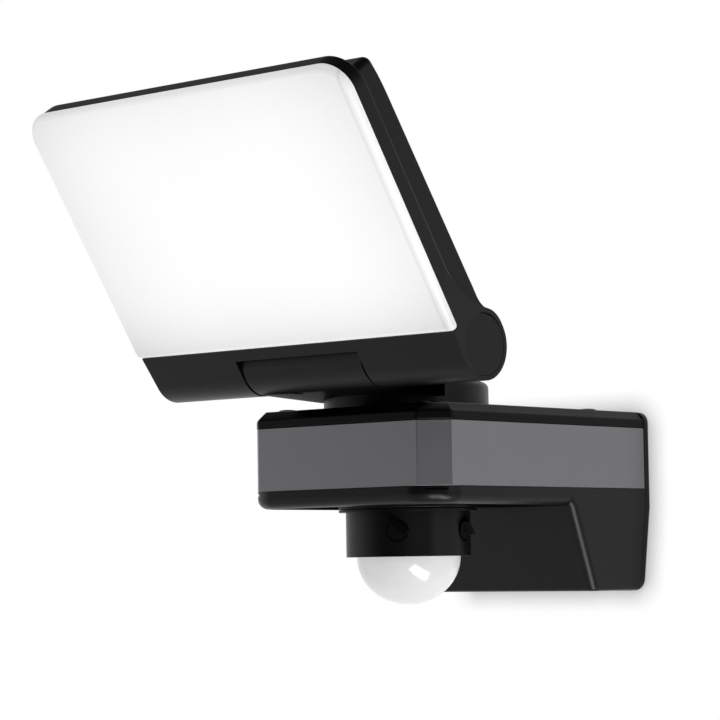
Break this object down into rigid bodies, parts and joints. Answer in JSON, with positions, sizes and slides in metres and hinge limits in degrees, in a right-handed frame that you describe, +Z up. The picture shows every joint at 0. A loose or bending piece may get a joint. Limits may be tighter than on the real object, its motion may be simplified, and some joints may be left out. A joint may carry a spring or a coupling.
{
  "type": "wall flood light with motion sensor",
  "caption": "Wall flood light: a flat opal-fronted head on a tilting barrel hinge and a turntable, over a box-shaped base with a grey band and a domed motion sensor below.",
  "frame": {"origin": "middle of the wall plate's back face, where it lies on the wall", "axes": "+Y into the wall, so the light stands out along -Y; +Z up; +X to the right of someone facing the wall"},
  "size_m": [0.18, 0.2448, 0.2138],
  "materials": {
    "black_plastic": "satin black moulded plastic with a fine grain",
    "grey_trim": "satin dark grey plastic",
    "opal": "satin opal white, translucent",
    "rubber": "matt black",
    "steel": "zinc plated",
    "black_steel": "blackened steel",
    "aluminium": "mill finish sheet",
    "green_board": "green solder mask",
    "white_board": "white solder mask",
    "led_yellow": "phosphor resin",
    "grey_plastic": "matt",
    "blue_sleeve": "shrink sleeve",
    "brass": "plain"
  },
  "bodies": {
    "base": {"wall_plate": "black_plastic", "cable_grommet": "rubber", "terminal_block": "grey_plastic", "base_screw_left": "steel", "base_screw_right": "steel", "base_housing": "black_plastic", "trim_band": "grey_trim", "top_cover": "black_plastic", "cover_screw_front_left": "black_steel", "cover_screw_front_right": "black_steel", "cover_screw_rear_left": "black_steel", "cover_screw_rear_right": "black_steel", "driver_board": "green_board", "transformer": "blue_sleeve", "relay": "grey_plastic", "capacitor": "blue_sleeve", "pan_washer": "brass", "sensor_ring": "black_plastic"},
    "arm": {"swivel_arm": "black_plastic", "lock_screw_left": "steel", "lock_screw_right": "steel", "pan_nut": "steel", "hinge_pin_left": "steel", "hinge_pin_right": "steel", "hinge_washer_left": "brass", "hinge_washer_right": "brass"},
    "head": {"head_frame": "black_plastic", "barrel_cap_left": "black_plastic", "barrel_cap_right": "black_plastic", "diffuser": "opal", "diffuser_seal": "rubber", "heat_spreader": "aluminium", "led_board": "white_board", "led_1_1": "led_yellow", "led_1_2": "led_yellow", "led_1_3": "led_yellow", "led_1_4": "led_yellow", "led_2_1": "led_yellow", "led_2_2": "led_yellow", "led_2_3": "led_yellow", "led_2_4": "led_yellow", "back_cover": "black_plastic", "back_screw_1": "black_steel", "back_screw_2": "black_steel", "back_screw_3": "black_steel", "back_screw_4": "black_steel"},
    "sensor": {"sensor_collar": "black_plastic", "sensor_clip": "steel", "sensor_dome": "opal", "sensor_board": "green_board", "pyro_sensor": "steel", "time_pot": "grey_plastic", "light_pot": "grey_plastic"},
    "time_setting": {"time_knob": "black_plastic"},
    "light_setting": {"light_knob": "black_plastic"}
  },
  "joints": [
    {"name": "head_pan", "type": "hinge", "parent": "base", "child": "arm", "pos_m": [0, -0.103, 0.04], "axis": [0, 0, 1], "range_deg": [-90, 90]},
    {"name": "head_tilt", "type": "hinge", "parent": "arm", "child": "head", "pos_m": [0, -0.157, 0.0607], "axis": [1, 0, 0], "range_deg": [-50, 56]},
    {"name": "sensor_swivel", "type": "hinge", "parent": "base", "child": "sensor", "pos_m": [0, -0.103, -0.01], "axis": [0, 0, 1], "range_deg": [-60, 60]},
    {"name": "time_knob_turn", "type": "hinge", "parent": "sensor", "child": "time_setting", "pos_m": [0.01355, -0.12647, -0.0125], "axis": [0.5, -0.866, 0], "range_deg": [-135, 135]},
    {"name": "light_knob_turn", "type": "hinge", "parent": "sensor", "child": "light_setting", "pos_m": [0.02641, -0.0969, -0.0125], "axis": [0.9744, 0.225, 0], "range_deg": [-135, 135]}
  ]
}
